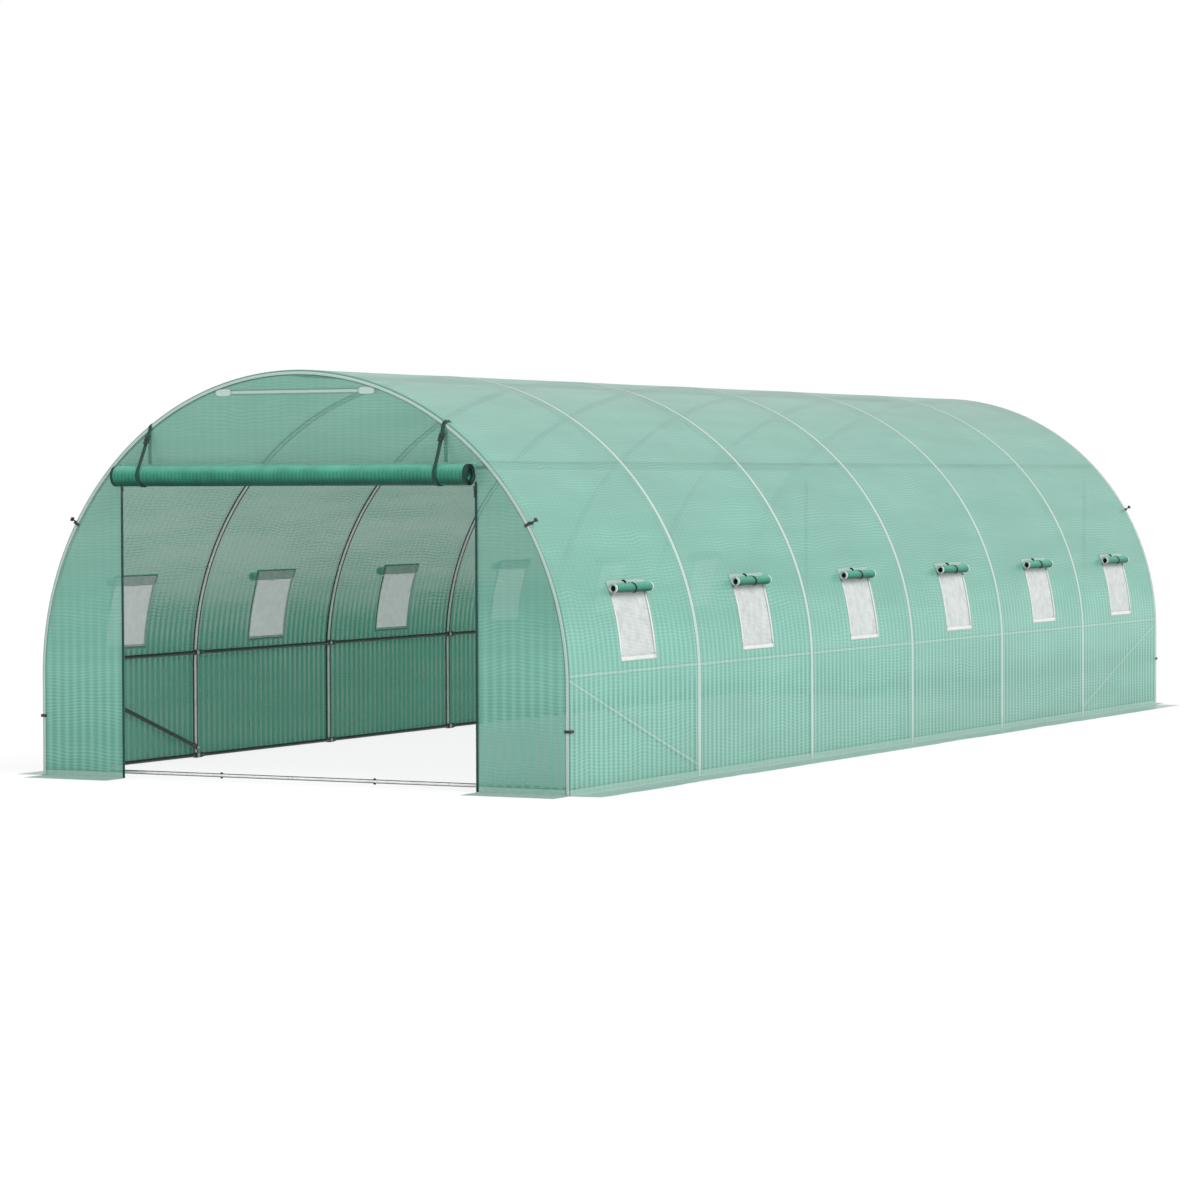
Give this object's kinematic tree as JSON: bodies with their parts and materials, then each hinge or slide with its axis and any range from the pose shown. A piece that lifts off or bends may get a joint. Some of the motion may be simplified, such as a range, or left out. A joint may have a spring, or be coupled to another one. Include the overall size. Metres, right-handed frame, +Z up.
{
  "type": "polytunnel greenhouse",
  "caption": "Walk-in polytunnel greenhouse with bent galvanised tube hoops, a translucent green woven cover, a rolled-up front door and roll-up side windows.",
  "frame": {"origin": "middle of the footprint, ground flaps included, at ground level", "axes": "+Y along the tunnel from the open door to the rear gable, +Z up, +X to the right seen from the door"},
  "size_m": [3.3266, 8.3266, 2.0033],
  "materials": {
    "tube": "galvanised",
    "cover": "woven sheet, translucent",
    "rolled_sheet": "woven sheet, rolled",
    "screen": "fine mesh",
    "trim": "white tape",
    "strap": "webbing",
    "zip": "zip tape",
    "buckle": "moulded",
    "socket": "moulded",
    "clamp": "dark"
  },
  "bodies": {
    "root": {"hoop_1": "tube", "hoop_2": "tube", "hoop_3": "tube", "hoop_4": "tube", "hoop_5": "tube", "hoop_6": "tube", "hoop_7": "tube", "ridge_purlin": "tube", "upper_purlins": "tube", "side_rails": "tube", "base_rail_left": "tube", "base_rail_right": "tube", "base_rails_ends": "tube", "diagonal_braces": "tube", "gable_tie_bars": "tube", "wall_low_left": "cover", "wall_low_right": "cover", "wall_piers_left": "cover", "wall_piers_right": "cover", "roof_strip_1": "cover", "roof_strip_2": "cover", "roof_strip_3": "cover", "roof_strip_4": "cover", "roof_strip_5": "cover", "roof_strip_6": "cover", "gable_front_left": "cover", "gable_front_right": "cover", "gable_front_top": "cover", "gable_rear_left": "cover", "gable_rear_right": "cover", "gable_rear_top": "cover", "rear_door": "cover", "ground_flap_left": "cover", "ground_flap_right": "cover", "ground_flaps_ends": "cover", "door_roll": "rolled_sheet", "window_flaps": "rolled_sheet", "window_screens": "screen", "window_trims": "trim", "door_straps": "strap", "window_ties": "strap", "door_zips": "zip", "strap_buckles": "buckle", "tie_bar_sockets": "socket", "cover_clamps": "clamp"}
  },
  "joints": []
}
